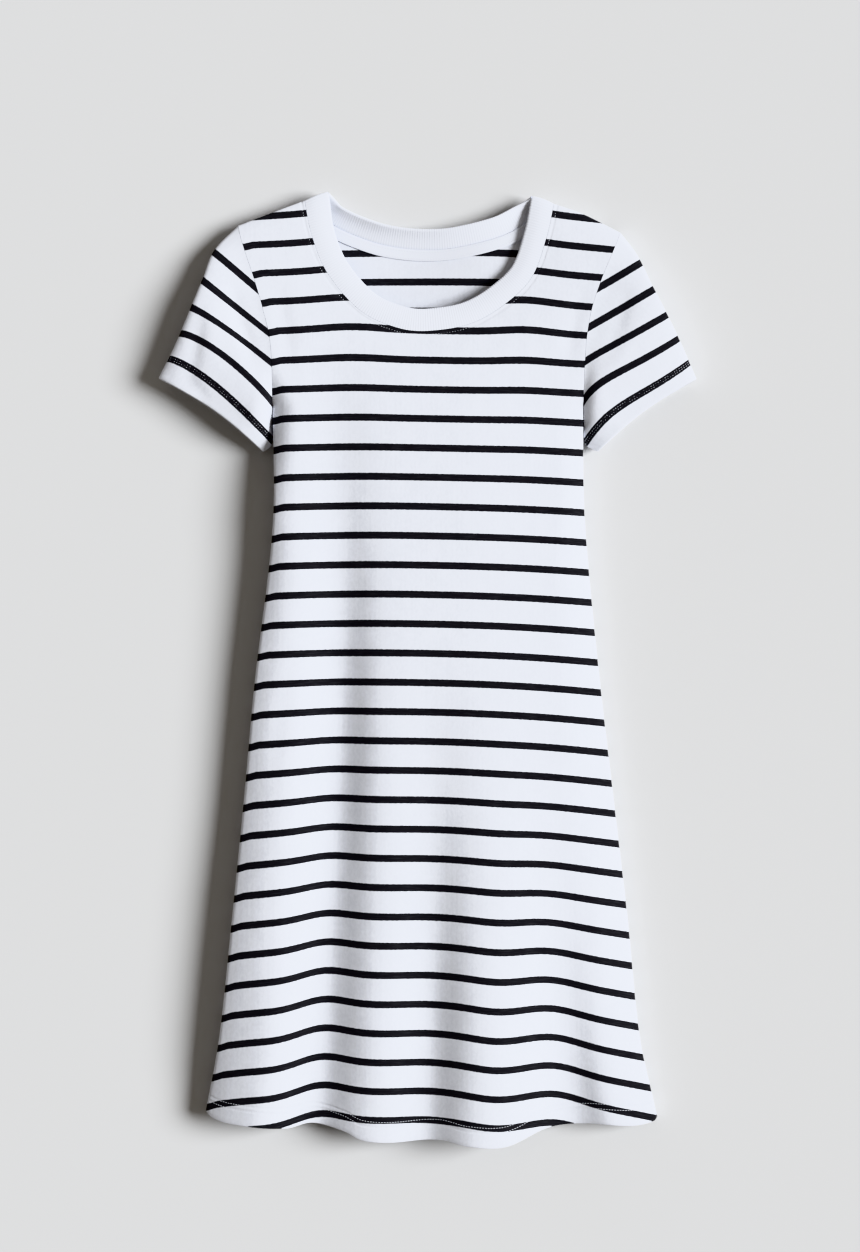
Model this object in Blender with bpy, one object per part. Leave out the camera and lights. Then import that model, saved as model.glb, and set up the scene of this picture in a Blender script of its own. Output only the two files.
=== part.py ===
import math

import bpy
from mathutils import Vector

# A child's jersey T-shirt dress, laid face up on a flat surface and softly filled.
# X runs across it, Y from the hem to the neck and Z up from the surface. All sizes are in metres.

# Cloth
WALL = 0.0015
BAND_WALL = 0.0020
TAPE_WALL = 0.0008
SEAM_GAP = 0.0003
SET_IN_GAP = 0.0004

# How far in from an edge each layer turns before it lies flat
SIDE_UNDER = 0.016
SHOULDER_ROUND = 0.025
SHOULDER_UNDER = 0.012
SLEEVE_ROUND = 0.026
SLEEVE_UNDER = 0.012

# Neck
BAND_HEIGHT = 0.0150
BAND_BULGE = 0.0007
BAND_BACK_LIFT = 0.0065
BAND_BACK_PLAN = 0.0132
BAND_TURN = 0.030
TAPE_WIDTH = 0.0090
TAPE_INSET = 0.0008
TAPE_CLEAR = 0.0004
TAPE_SKIP = 3

# The side seam ends at the underarm, and above it the sleeve carries the cloth on past the armhole.
UNDERARM_Y = {"left": 0.1802, "right": 0.1816}
ARMHOLE_SPREAD = 0.6

# Grid counts
SIDE_ROWS = 22
ARMHOLE_ROWS = 12
SHOULDER_COLUMNS = 6
NECK_COLUMNS = {"front": 24, "back": 16}
SLEEVE_RINGS = 9
BAND_ROWS = 4
TAPE_ROWS = 2

# Width beside each end of the hem over which the columns crowd together
CROWD = {"front": 0.034, "back": SIDE_UNDER}

# Share of a panel's width over which the bends of its sides fade out
BEND_REACH = 0.30

UP = Vector((0.0, 0.0, 1.0))


def through(knots, values, at):
    """Smooth curve through the values at the knots, carried on straight past the ends."""
    last = len(knots) - 1
    step = 0
    while step < last - 1 and at > knots[step + 1]:
        step += 1
    span = knots[step + 1] - knots[step]
    t = (at - knots[step]) / span

    def slope(knot):
        low = max(knot - 1, 0)
        high = min(knot + 1, last)
        return (values[high] - values[low]) / (knots[high] - knots[low])

    start, end = values[step], values[step + 1]
    if t < 0.0:
        return start + slope(step) * (at - knots[step])
    if t > 1.0:
        return end + slope(step + 1) * (at - knots[step + 1])
    rest = 1.0 - t
    return (start * (1 + 2 * t) * rest * rest + end * (3 - 2 * t) * t * t
            + slope(step) * span * t * rest * rest - slope(step + 1) * span * t * t * rest)


class Table:
    """Rows of sizes read smoothly by their first column."""

    def __init__(self, columns, rows):
        self.first = columns[0]
        self.values = {name: [row[place] for row in rows] for place, name in enumerate(columns)}

    def read(self, column, at):
        return through(self.values[self.first], self.values[column], at)


# Body sections from the hem to the shoulders: the two sides, the height of the front's crown, the
# heights of the two side seams and how far in the front turns before it lies flat.
BODY = Table(("y", "left", "right", "crown", "left_edge", "right_edge", "turn"), (
    (-0.330, -0.1580, 0.1610, 0.0255, 0.0140, 0.0100, 0.040),
    (-0.303, -0.1522, 0.1566, 0.0278, 0.0165, 0.0115, 0.041),
    (-0.254, -0.1430, 0.1460, 0.0300, 0.0195, 0.0125, 0.041),
    (-0.172, -0.1341, 0.1375, 0.0300, 0.0200, 0.0125, 0.037),
    (-0.090, -0.1259, 0.1279, 0.0288, 0.0190, 0.0125, 0.037),
    (-0.008, -0.1183, 0.1183, 0.0270, 0.0195, 0.0130, 0.029),
    (0.074, -0.1081, 0.1101, 0.0285, 0.0212, 0.0145, 0.023),
    (0.115, -0.1053, 0.1074, 0.0278, 0.0222, 0.0150, 0.018),
    (0.180, -0.1064, 0.1069, 0.0255, 0.0200, 0.0155, 0.020),
    (0.222, -0.1075, 0.1087, 0.0225, 0.0165, 0.0160, 0.024),
    (0.245, -0.1124, 0.1122, 0.0195, 0.0150, 0.0150, 0.026),
    (0.266, -0.1185, 0.1189, 0.0175, 0.0140, 0.0140, 0.026),
    (0.291, -0.1268, 0.1292, 0.0165, 0.0130, 0.0130, 0.026),
    (0.302, -0.1296, 0.1332, 0.0160, 0.0125, 0.0125, 0.026),
    (0.330, -0.1340, 0.1400, 0.0150, 0.0120, 0.0120, 0.026),
))

# The front bends evenly up from its sides, after a short upright lip at the seam.
LIP_RISE = 0.0014
LIP_REACH = 0.0016

# The front sinks a little round the open neck.
NECK_SINK = {"x": 0.001, "y": 0.290, "depth": 0.0050, "reach": 0.080}

# Shoulder fold across the garment, carried on over the neckband's ends and the open neck
SHOULDER = Table(("x", "y"), (
    (-0.1296, 0.3023),
    (-0.1064, 0.3122),
    (-0.0845, 0.3215),
    (-0.0690, 0.3274),
    (0.0000, 0.3400),
    (0.0722, 0.3246),
    (0.0869, 0.3192),
    (0.1064, 0.3116),
    (0.1317, 0.2979),
))

# Lower edge of each panel
HEM = {
    "front": Table(("x", "y"), (
        (-0.1522, -0.3033),
        (-0.1485, -0.3075),
        (-0.1351, -0.3116),
        (-0.0968, -0.3150),
        (-0.0797, -0.3116),
        (-0.0578, -0.3167),
        (-0.0450, -0.3228),
        (-0.0239, -0.3243),
        (0.0085, -0.3227),
        (0.0277, -0.3266),
        (0.0540, -0.3268),
        (0.0824, -0.3150),
        (0.1094, -0.3122),
        (0.1419, -0.3134),
        (0.1560, -0.3104),
        (0.1580, -0.3078),
    )),
    "back": Table(("x", "y"), (
        (-0.1522, -0.3033),
        (-0.1000, -0.3070),
        (0.0000, -0.3080),
        (0.1000, -0.3085),
        (0.1580, -0.3078),
    )),
}

# Flutes of the front: positive ones stand up and negative ones sink. Each keeps its depth over the
# hold share of its length from the hem and fades out to its top.
FLUTES = (
    {"hem_x": -0.112, "top_x": -0.094, "top_y": -0.100, "hold": 0.0, "depth": 0.0020, "reach": 0.016},
    {"hem_x": -0.0800, "top_x": -0.054, "top_y": 0.260, "hold": 0.25, "depth": -0.0112, "reach": 0.021},
    {"hem_x": -0.033, "top_x": -0.025, "top_y": 0.020, "hold": 0.0, "depth": 0.0020, "reach": 0.017},
    {"hem_x": -0.001, "top_x": 0.005, "top_y": 0.060, "hold": 0.10, "depth": -0.0050, "reach": 0.016},
    {"hem_x": 0.036, "top_x": 0.046, "top_y": 0.060, "hold": 0.10, "depth": 0.0070, "reach": 0.029},
    {"hem_x": 0.098, "top_x": 0.086, "top_y": -0.100, "hold": 0.0, "depth": -0.0085, "reach": 0.024},
    {"hem_x": 0.128, "top_x": 0.112, "top_y": -0.150, "hold": 0.0, "depth": 0.0015, "reach": 0.014},
)
FLUTE_FOOT = -0.320
FLUTE_LEAN = 0.6

# Neck seams from the left neck point to the right one
NECK_SEAM = {
    "front": (
        (-0.0845, 0.3215),
        (-0.0800, 0.2990),
        (-0.0691, 0.2719),
        (-0.0455, 0.2450),
        (-0.0192, 0.2332),
        (0.0013, 0.2315),
        (0.0300, 0.2367),
        (0.0534, 0.2502),
        (0.0716, 0.2685),
        (0.0822, 0.2975),
        (0.0869, 0.3192),
    ),
    "back": (
        (-0.0845, 0.3215),
        (-0.0660, 0.3061),
        (-0.0393, 0.2945),
        (-0.0192, 0.2900),
        (0.0017, 0.2886),
        (0.0202, 0.2900),
        (0.0496, 0.2972),
        (0.0670, 0.3061),
        (0.0869, 0.3192),
    ),
}
BAND_TIP = {"left": (-0.0690, 0.3274), "right": (0.0722, 0.3246)}

# Sleeves: the upper fold from the shoulder tip to the cuff, and the cuff's inner corner
SLEEVES = {
    "left": {
        "fold": ((-0.1296, 0.3023), (-0.1460, 0.2865), (-0.1539, 0.2678), (-0.1624, 0.2473),
                 (-0.1733, 0.2215), (-0.1844, 0.1998)),
        "cuff_corner": (-0.1125, 0.1491),
    },
    "right": {
        "fold": ((0.1317, 0.2979), (0.1433, 0.2835), (0.1529, 0.2650), (0.1618, 0.2479),
                 (0.1736, 0.2236), (0.1844, 0.1992)),
        "cuff_corner": (0.1166, 0.1491),
    },
}
CUFF_BOW = 0.0038
UNDER_BOW = 0.0020
SLEEVE_SECTIONS = Table(("along", "crown", "fold", "under"), (
    (0.0, 0.0250, 0.0130, 0.0190),
    (0.3, 0.0260, 0.0190, 0.0180),
    (0.7, 0.0255, 0.0205, 0.0160),
    (1.0, 0.0235, 0.0185, 0.0150),
))
SLEEVE_BLEND = 0.55


def mix(start, end, share):
    return start + (end - start) * share


def soft_step(value):
    t = min(max(value, 0.0), 1.0)
    return t * t * (3.0 - 2.0 * t)


def rise(distance, reach):
    """Quarter round from 0 at an edge to 1 at its reach, upright where it starts."""
    t = min(max(distance / reach, 0.0), 1.0)
    return math.sqrt(1.0 - (1.0 - t) ** 2)


def bell(distance, reach):
    return math.exp(-(distance / reach) ** 2)


def rounded(steps):
    """Shares from 0 to 1, closest together at 0."""
    return [1.0 - math.cos(0.5 * math.pi * step / steps) for step in range(steps + 1)]


def both_ends(steps):
    """Shares from 0 to 1, closest together at both ends."""
    return [0.5 - 0.5 * math.cos(math.pi * step / steps) for step in range(steps + 1)]


def trace(points, shares):
    """Points at shares of the length of the smooth curve through the given ones."""
    lengths = [0.0]
    for near, far in zip(points, points[1:]):
        lengths.append(lengths[-1] + math.dist(near, far))
    across = [point[0] for point in points]
    along = [point[1] for point in points]
    places = [share * lengths[-1] for share in shares]
    return [Vector((through(lengths, across, at), through(lengths, along, at))) for at in places]


def side_distance(x, y):
    inward_left = x - BODY.read("left", y)
    inward_right = BODY.read("right", y) - x
    side = "left" if inward_left < inward_right else "right"
    past_armhole = max(y - UNDERARM_Y[side], 0.0) * ARMHOLE_SPREAD
    return min(inward_left, inward_right) + past_armhole


def shoulder_distance(x, y):
    return SHOULDER.read("y", x) - y


def flutes(x, y):
    total = 0.0
    for flute in FLUTES:
        climb = max((y - FLUTE_FOOT) / (flute["top_y"] - FLUTE_FOOT), 0.0)
        middle = mix(flute["hem_x"], flute["top_x"], climb ** FLUTE_LEAN)
        fade = 1.0 - soft_step((climb - flute["hold"]) / (1.0 - flute["hold"]))
        total += flute["depth"] * bell(x - middle, flute["reach"]) * fade
    return total


def edge_height(x, y):
    """Height of the nearer side seam."""
    return BODY.read("left_edge" if x < 0.0 else "right_edge", y)


def side_rise(distance, reach, climb):
    """Share of the climb from a side seam up to the crown."""
    rest = 1.0 - min(max(distance / reach, 0.0), 1.0)
    return mix(1.0 - rest * rest, rise(distance, LIP_REACH), LIP_RISE / climb)


def front_height(x, y):
    edge = edge_height(x, y)
    from_neck = math.hypot(x - NECK_SINK["x"], y - NECK_SINK["y"])
    sink = NECK_SINK["depth"] * bell(from_neck, NECK_SINK["reach"])
    plain = BODY.read("crown", y)
    crown = plain + flutes(x, y) - sink
    side = side_rise(side_distance(x, y), BODY.read("turn", y), plain - edge)
    return mix(edge, crown, side * rise(shoulder_distance(x, y), SHOULDER_ROUND))


def back_height(x, y):
    edge = edge_height(x, y) - SEAM_GAP
    turn = rise(side_distance(x, y), SIDE_UNDER) * rise(shoulder_distance(x, y), SHOULDER_UNDER)
    return edge * (1.0 - turn)


HEIGHT = {"front": front_height, "back": back_height}


def raised(panel, plan):
    return Vector((plan.x, plan.y, HEIGHT[panel](plan.x, plan.y)))


def hem_plan(panel):
    hem = HEM[panel]
    start, end = hem.values["x"][0], hem.values["x"][-1]
    reach = CROWD[panel]
    turn = [reach * share for share in rounded(SHOULDER_COLUMNS)]
    count = NECK_COLUMNS[panel]
    middle = [mix(start + reach, end - reach, step / count) for step in range(1, count)]
    places = [start + step for step in turn] + middle + [end - step for step in reversed(turn)]
    return [Vector((x, hem.read("y", x))) for x in places]


def shoulder_plan(side):
    """Shoulder seam from the tip to the neck point."""
    tip = SLEEVES[side]["fold"][0][0]
    neck = NECK_SEAM["front"][0 if side == "left" else -1][0]
    places = [mix(tip, neck, share) for share in rounded(SHOULDER_COLUMNS)]
    return [Vector((x, SHOULDER.read("y", x))) for x in places]


def neck_plan(panel):
    return trace(NECK_SEAM[panel], both_ends(NECK_COLUMNS[panel]))


def top_plan(panel):
    left = shoulder_plan("left")
    right = shoulder_plan("right")
    return left[:-1] + neck_plan(panel) + right[-2::-1]


def side_plan(side):
    """Side seam and armhole from the hem corner to the shoulder tip."""
    hem = HEM["front"].values["y"]
    foot = hem[0] if side == "left" else hem[-1]
    under = UNDERARM_Y[side]
    tip = SLEEVES[side]["fold"][0][1]
    heights = [mix(foot, under, step / SIDE_ROWS) for step in range(SIDE_ROWS)]
    heights += [mix(under, tip, share) for share in both_ends(ARMHOLE_ROWS)]
    plan = [Vector((BODY.read(side, y), y)) for y in heights]
    plan[0].x = HEM["front"].values["x"][0 if side == "left" else -1]
    plan[-1].x = SLEEVES[side]["fold"][0][0]
    return plan


def shares_across(points):
    width = points[-1].x - points[0].x
    return [(point.x - points[0].x) / width for point in points]


def panel_plan(low, high, left, right):
    """Plan grid between four edges, in rows from low to high. The bends of the sides fade inward."""
    low_shares = shares_across(low)
    high_shares = shares_across(high)
    rows = []
    for row, start in enumerate(left):
        v = (start.y - left[0].y) / (left[-1].y - left[0].y)
        bend_left = start - mix(left[0], left[-1], v)
        bend_right = right[row] - mix(right[0], right[-1], v)
        line = []
        for column, point in enumerate(low):
            share = mix(low_shares[column], high_shares[column], v)
            near_left = max(1.0 - share / BEND_REACH, 0.0) ** 2
            near_right = max(1.0 - (1.0 - share) / BEND_REACH, 0.0) ** 2
            line.append(mix(point, high[column], v) + bend_left * near_left + bend_right * near_right)
        rows.append(line)
    return rows


def grid_normals(grid, ring):
    """Outward normals of a grid whose rows run with outward to their left side."""
    rows = len(grid)
    columns = len(grid[0])
    normals = []
    for row in range(rows):
        line = []
        for column in range(columns):
            if ring:
                ahead = grid[row][(column + 1) % columns]
                behind = grid[row][column - 1]
            else:
                ahead = grid[row][min(column + 1, columns - 1)]
                behind = grid[row][max(column - 1, 0)]
            rise_row = grid[min(row + 1, rows - 1)][column] - grid[max(row - 1, 0)][column]
            line.append((ahead - behind).cross(rise_row).normalized())
        normals.append(line)
    return normals


def inner_grid(grid, normals, walls):
    return [[point - normal * wall for point, normal in zip(points, line)]
            for points, line, wall in zip(grid, normals, walls)]


def make_part(name, outer, inner, ring, look):
    """Closed wall between an outer and an inner grid, open tubes staying open at their ends."""
    rows = len(outer)
    columns = len(outer[0])
    verts = [point for grid in (outer, inner) for line in grid for point in line]
    layer = rows * columns
    faces = []
    spans = columns if ring else columns - 1

    def at(row, column, side):
        return side * layer + row * columns + column % columns

    for row in range(rows - 1):
        for column in range(spans):
            faces.append((at(row, column, 0), at(row, column + 1, 0),
                          at(row + 1, column + 1, 0), at(row + 1, column, 0)))
            faces.append((at(row, column, 1), at(row + 1, column, 1),
                          at(row + 1, column + 1, 1), at(row, column + 1, 1)))
    for column in range(spans):
        faces.append((at(0, column, 0), at(0, column, 1),
                      at(0, column + 1, 1), at(0, column + 1, 0)))
        faces.append((at(rows - 1, column, 0), at(rows - 1, column + 1, 0),
                      at(rows - 1, column + 1, 1), at(rows - 1, column, 1)))
    if not ring:
        last = columns - 1
        for row in range(rows - 1):
            faces.append((at(row, 0, 0), at(row + 1, 0, 0), at(row + 1, 0, 1), at(row, 0, 1)))
            faces.append((at(row, last, 0), at(row, last, 1),
                          at(row + 1, last, 1), at(row + 1, last, 0)))

    mesh = bpy.data.meshes.new(name)
    mesh.from_pydata(verts, [], faces)
    mesh.validate()
    mesh.shade_smooth()
    mesh.materials.append(cloth_material(name, **look))
    part = bpy.data.objects.new(name, mesh)
    bpy.context.scene.collection.objects.link(part)
    return part


def cloth_material(name, colour, roughness):
    material = bpy.data.materials.new(name + "_cloth")
    material.use_nodes = True
    shader = material.node_tree.nodes["Principled BSDF"]
    shader.inputs["Base Color"].default_value = (*colour, 1.0)
    shader.inputs["Roughness"].default_value = roughness
    shader.inputs["Metallic"].default_value = 0.0
    return material


JERSEY_LOOK = {"colour": (0.80, 0.82, 0.88), "roughness": 0.90}
RIB_LOOK = {"colour": (0.84, 0.86, 0.91), "roughness": 0.85}
TAPE_LOOK = {"colour": (0.82, 0.83, 0.88), "roughness": 0.80}


def flat_normal(along, outward):
    """Level normal square to a seam, on the side of the outward direction."""
    normal = along.cross(UP).normalized()
    return normal if normal.dot(outward) > 0.0 else -normal


class Panel:
    """Front or back panel: its outer grid and outward normals."""

    def __init__(self, panel):
        self.panel = panel
        plan = panel_plan(hem_plan(panel), top_plan(panel), side_plan("left"), side_plan("right"))
        self.outer = [[raised(panel, point) for point in line] for line in plan]
        self.normals = grid_normals(self.outer, False)
        if panel == "back":
            self.normals = [[-normal for normal in line] for line in self.normals]
        self.set_seam_normals()

    def set_seam_normals(self):
        for column, outward in ((0, Vector((-1, 0, 0))), (-1, Vector((1, 0, 0)))):
            for row in range(SIDE_ROWS + 1):
                along = self.outer[row + 1][column] - self.outer[max(row - 1, 0)][column]
                self.normals[row][column] = flat_normal(along, outward)
        top = self.outer[-1]
        for step in range(SHOULDER_COLUMNS + 1):
            for column, beside in ((step, step + 1), (-1 - step, -2 - step)):
                along = top[beside] - top[column]
                self.normals[-1][column] = flat_normal(along, Vector((0, 1, 0)))

    def armhole(self, side):
        """Grid places along the armhole from the shoulder tip to the underarm."""
        column = 0 if side == "left" else len(self.outer[0]) - 1
        last = len(self.outer) - 1
        return [(last - step, column) for step in range(ARMHOLE_ROWS + 1)]

    def neckline(self):
        last = len(self.outer) - 1
        return [(last, SHOULDER_COLUMNS + step) for step in range(NECK_COLUMNS[self.panel] + 1)]

    def point(self, place):
        return self.outer[place[0]][place[1]]

    def set_normal(self, place, normal):
        self.normals[place[0]][place[1]] = normal

    def build(self):
        inner = inner_grid(self.outer, self.normals, [WALL] * len(self.outer))
        outer = self.outer
        if self.panel == "back":
            outer = [line[::-1] for line in outer]
            inner = [line[::-1] for line in inner]
        make_part(self.panel, outer, inner, False, JERSEY_LOOK)


def armhole_loop(front, back, side):
    """Armhole ring over the front and back under it, with its outward normals."""
    fore = front.armhole(side)
    rear = back.armhole(side)
    ring = [front.point(place) for place in fore] + [back.point(place) for place in rear[-2:0:-1]]
    tip, under = ring[0], ring[ARMHOLE_ROWS]
    upward = Vector((tip.x - under.x, tip.y - under.y, 0.0)).normalized()
    axis = flat_normal(upward, Vector((-1, 0, 0) if side == "left" else (1, 0, 0)))
    middle = (tip + under) / 2
    normals = []
    for step, point in enumerate(ring):
        along = ring[(step + 1) % len(ring)] - ring[step - 1]
        normal = along.cross(axis).normalized()
        away = point - middle
        away -= axis * away.dot(axis)
        normals.append(normal if normal.dot(away) > 0.0 else -normal)
    for step, place in enumerate(fore):
        front.set_normal(place, normals[step])
    for step, place in enumerate(rear):
        back.set_normal(place, normals[-step % len(normals)])
    return ring, normals, axis


def sleeve_plan(ring, side, axis, along):
    """Plan points of one sleeve layer from the upper fold to the underarm fold."""
    sizes = SLEEVES[side]
    armhole = [Vector((point.x, point.y)) for point in ring[:ARMHOLE_ROWS + 1]]
    lengths = [0.0]
    for near, far in zip(armhole, armhole[1:]):
        lengths.append(lengths[-1] + (far - near).length)
    across = [length / lengths[-1] for length in lengths]
    fold = trace(sizes["fold"], [along])[0]
    outer_corner = Vector(sizes["fold"][-1])
    inner_corner = Vector(sizes["cuff_corner"])
    edge = inner_corner - outer_corner
    bow = Vector((-edge.y, edge.x)).normalized()
    bow = bow if bow.y > 0.0 else -bow
    bend_fold = fold - mix(armhole[0], outer_corner, along)
    bend_under = axis.xy * (UNDER_BOW * math.sin(math.pi * along))
    plan = []
    for share, start in zip(across, armhole):
        cuff = outer_corner + edge * share + bow * (CUFF_BOW * math.sin(math.pi * share))
        plan.append(mix(start, cuff, along) + mix(bend_fold, bend_under, share))
    return across, plan


def sleeve_section(ring, side, axis, along):
    """One ring of the sleeve, over its front layer and back under it."""
    across, plan = sleeve_plan(ring, side, axis, along)
    width = (plan[0] - plan[-1]).length
    crown = SLEEVE_SECTIONS.read("crown", along)
    fold = SLEEVE_SECTIONS.read("fold", along)
    under = SLEEVE_SECTIONS.read("under", along)
    own = soft_step(along / SLEEVE_BLEND)
    front = []
    back = []
    for step, (share, place) in enumerate(zip(across, plan)):
        inward = min(share, 1.0 - share) * width
        edge = mix(fold, under, share)
        over = mix(edge, crown, rise(inward, SLEEVE_ROUND))
        below = edge * (1.0 - rise(inward, SLEEVE_UNDER))
        front_start = ring[step].z
        back_start = ring[-step % len(ring)].z
        front.append(Vector((place.x, place.y, mix(front_start, over, own))))
        back.append(Vector((place.x, place.y, mix(back_start, below, own))))
    return front + back[-2:0:-1]


def build_sleeve(side, ring, normals, axis):
    outer = []
    for step in range(SLEEVE_RINGS + 1):
        along = step / SLEEVE_RINGS
        shift = axis * (SET_IN_GAP * (1.0 - along))
        outer.append([point + shift for point in sleeve_section(ring, side, axis, along)])
    own = grid_normals(outer, True)
    if side == "left":
        own = [[-normal for normal in line] for line in own]
    own[0] = normals
    inner = inner_grid(outer, own, [WALL] * len(outer))
    if side == "left":
        outer = [line[::-1] for line in outer]
        inner = [line[::-1] for line in inner]
    make_part("sleeve_" + side, outer, inner, True, JERSEY_LOOK)


def band_line(panel):
    """Free edge of the neckband beside each point of one neck seam."""
    seam = neck_plan(panel)
    reach = BAND_HEIGHT if panel == "front" else BAND_BACK_PLAN
    lengths = [0.0]
    for near, far in zip(seam, seam[1:]):
        lengths.append(lengths[-1] + (far - near).length)
    tips = Vector(BAND_TIP["left"]), Vector(BAND_TIP["right"])
    line = []
    for step, point in enumerate(seam):
        along = seam[min(step + 1, len(seam) - 1)] - seam[max(step - 1, 0)]
        square = Vector((-along.y, along.x)).normalized()
        from_left, from_right = lengths[step], lengths[-1] - lengths[step]
        tip, neck, away = ((tips[0], seam[0], from_left) if from_left < from_right
                           else (tips[1], seam[-1], from_right))
        turn = soft_step(away / BAND_TURN)
        line.append(point + mix(tip - neck, square * reach, turn))
    line[0], line[-1] = tips
    return line


def neck_rings(front, back):
    """Neck seam and free edge as two rings, front first and back from right to left."""
    fore = front.neckline()
    rear = back.neckline()
    seam = [front.point(place) for place in fore] + [back.point(place) for place in rear[-2:0:-1]]
    free = [raised("front", point) for point in band_line("front")]
    behind = [raised("back", point) for point in band_line("back")]
    count = len(behind) - 1
    for step, point in enumerate(behind):
        point.z += BAND_BACK_LIFT * math.sin(math.pi * step / count) ** 0.5
    free[0].z = edge_height(free[0].x, free[0].y)
    free[-1].z = edge_height(free[-1].x, free[-1].y)
    free += behind[-2:0:-1]
    normals = []
    for step, point in enumerate(seam):
        along = seam[(step + 1) % len(seam)] - seam[step - 1]
        normals.append(along.cross(free[step] - point).normalized())
    for step, place in enumerate(fore):
        front.set_normal(place, normals[step])
    for step, place in enumerate(rear):
        back.set_normal(place, normals[-step % len(normals)])
    return seam, free, normals


def build_neckband(seam, free, normals):
    outer = []
    for row in range(BAND_ROWS + 1):
        share = row / BAND_ROWS
        bulge = BAND_BULGE * math.sin(math.pi * share)
        line = []
        for start, end, normal in zip(seam, free, normals):
            gap = (end - start).normalized() * (SET_IN_GAP * (1.0 - share))
            line.append(mix(start, end, share) + gap + normal * bulge)
        outer.append(line)
    own = grid_normals(outer, True)
    own[0] = normals
    walls = [WALL] + [BAND_WALL] * BAND_ROWS
    make_part("neckband", outer, inner_grid(outer, own, walls), True, RIB_LOOK)


def build_tape(back):
    """Strip on the back panel's inner face, along the neck seam."""
    seam = neck_plan("back")
    lower = []
    upper = []
    for row in range(TAPE_ROWS + 1):
        inset = TAPE_INSET + TAPE_WIDTH * row / TAPE_ROWS
        low_line = []
        high_line = []
        for step in range(TAPE_SKIP, len(seam) - TAPE_SKIP):
            along = seam[step + 1] - seam[step - 1]
            square = Vector((along.y, -along.x)).normalized()
            plan = seam[step] + square * inset
            point = raised("back", plan)
            beside = raised("back", plan + Vector((WALL, 0.0))) - point
            beyond = raised("back", plan + Vector((0.0, WALL))) - point
            inward = beside.cross(beyond).normalized()
            low_line.append(point + inward * (WALL + TAPE_CLEAR))
            high_line.append(point + inward * (WALL + TAPE_CLEAR + TAPE_WALL))
        lower.append(low_line)
        upper.append(high_line)
    make_part("neck_tape", [line[::-1] for line in upper], [line[::-1] for line in lower], False, TAPE_LOOK)


def main():
    for old in list(bpy.data.objects):
        bpy.data.objects.remove(old, do_unlink=True)
    front = Panel("front")
    back = Panel("back")
    loops = {side: armhole_loop(front, back, side) for side in SLEEVES}
    seam, free, normals = neck_rings(front, back)
    front.build()
    back.build()
    for side, (ring, ring_normals, axis) in loops.items():
        build_sleeve(side, ring, ring_normals, axis)
    build_neckband(seam, free, normals)
    build_tape(back)


main()
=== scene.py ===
import math

import bpy
import numpy as np
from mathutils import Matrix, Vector


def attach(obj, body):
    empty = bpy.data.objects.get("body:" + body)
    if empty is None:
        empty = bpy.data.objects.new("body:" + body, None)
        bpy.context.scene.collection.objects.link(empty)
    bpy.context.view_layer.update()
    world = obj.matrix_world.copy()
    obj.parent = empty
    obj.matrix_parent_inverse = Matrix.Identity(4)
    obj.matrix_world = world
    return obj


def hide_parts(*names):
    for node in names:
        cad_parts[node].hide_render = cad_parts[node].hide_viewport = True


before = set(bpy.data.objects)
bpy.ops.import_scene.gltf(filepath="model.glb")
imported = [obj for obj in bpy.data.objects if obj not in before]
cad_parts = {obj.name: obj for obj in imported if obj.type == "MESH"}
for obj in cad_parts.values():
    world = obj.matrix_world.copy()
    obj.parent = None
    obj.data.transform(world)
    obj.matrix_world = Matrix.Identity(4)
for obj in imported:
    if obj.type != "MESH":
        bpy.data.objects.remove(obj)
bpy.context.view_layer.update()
print("frame loaded with", ", ".join(sorted(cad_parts)))


# Curves and tables

def mix(start, end, share):
    return start + (end - start) * share


def softStep(value):
    t = np.clip(value, 0.0, 1.0)
    return t * t * (3.0 - 2.0 * t)


def rise(distance, reach):  # quarter round from 0 at an edge to 1, upright where it starts
    t = np.clip(distance / reach, 0.0, 1.0)
    return np.sqrt(1.0 - (1.0 - t) ** 2)


def bell(distance, reach):
    return np.exp(-(distance / reach) ** 2)


def through(knots, values, at):  # smooth through the values at the knots, straight past both ends
    knots, values, at = (np.asarray(item, float) for item in (knots, values, at))
    slopes = np.empty_like(values)
    slopes[1:-1] = (values[2:] - values[:-2]) / (knots[2:] - knots[:-2])
    slopes[0] = (values[1] - values[0]) / (knots[1] - knots[0])
    slopes[-1] = (values[-1] - values[-2]) / (knots[-1] - knots[-2])
    step = np.clip(np.searchsorted(knots, at) - 1, 0, len(knots) - 2)
    span = knots[step + 1] - knots[step]
    whole = (at - knots[step]) / span
    t = np.clip(whole, 0.0, 1.0)
    rest = 1.0 - t
    inside = (values[step] * (1 + 2 * t) * rest ** 2 + values[step + 1] * (3 - 2 * t) * t ** 2
              + slopes[step] * span * t * rest ** 2 - slopes[step + 1] * span * t ** 2 * rest)
    below = np.minimum(whole, 0.0) * span * slopes[step]
    above = np.maximum(whole - 1.0, 0.0) * span * slopes[step + 1]
    return inside + below + above


class Table:
    def __init__(self, columns, rows):
        self.first = columns[0]
        self.values = {name: np.array([row[place] for row in rows]) for place, name in enumerate(columns)}

    def read(self, column, at):
        return through(self.values[self.first], self.values[column], at)

    def rows(self):
        return [dict(zip(self.values, row)) for row in zip(*self.values.values())]


def lengthsAlong(line):  # from the first point of a line to each of its points
    steps = np.linalg.norm(np.diff(line, axis=0), axis=1)
    return np.concatenate(([0.0], np.cumsum(steps)))


def lengthOf(line):
    return float(np.linalg.norm(np.diff(line, axis=0), axis=1).sum())


def trace(points, shares):  # points at shares of the length of the smooth curve through the given ones
    points = np.asarray(points, float)
    lengths = lengthsAlong(points)
    places = np.asarray(shares) * lengths[-1]
    return np.stack([through(lengths, points[:, axis], places) for axis in range(points.shape[1])], axis=1)


def rounded(steps):  # shares from 0 to 1, closest together at 0
    return 1.0 - np.cos(0.5 * np.pi * np.arange(steps + 1) / steps)


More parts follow.
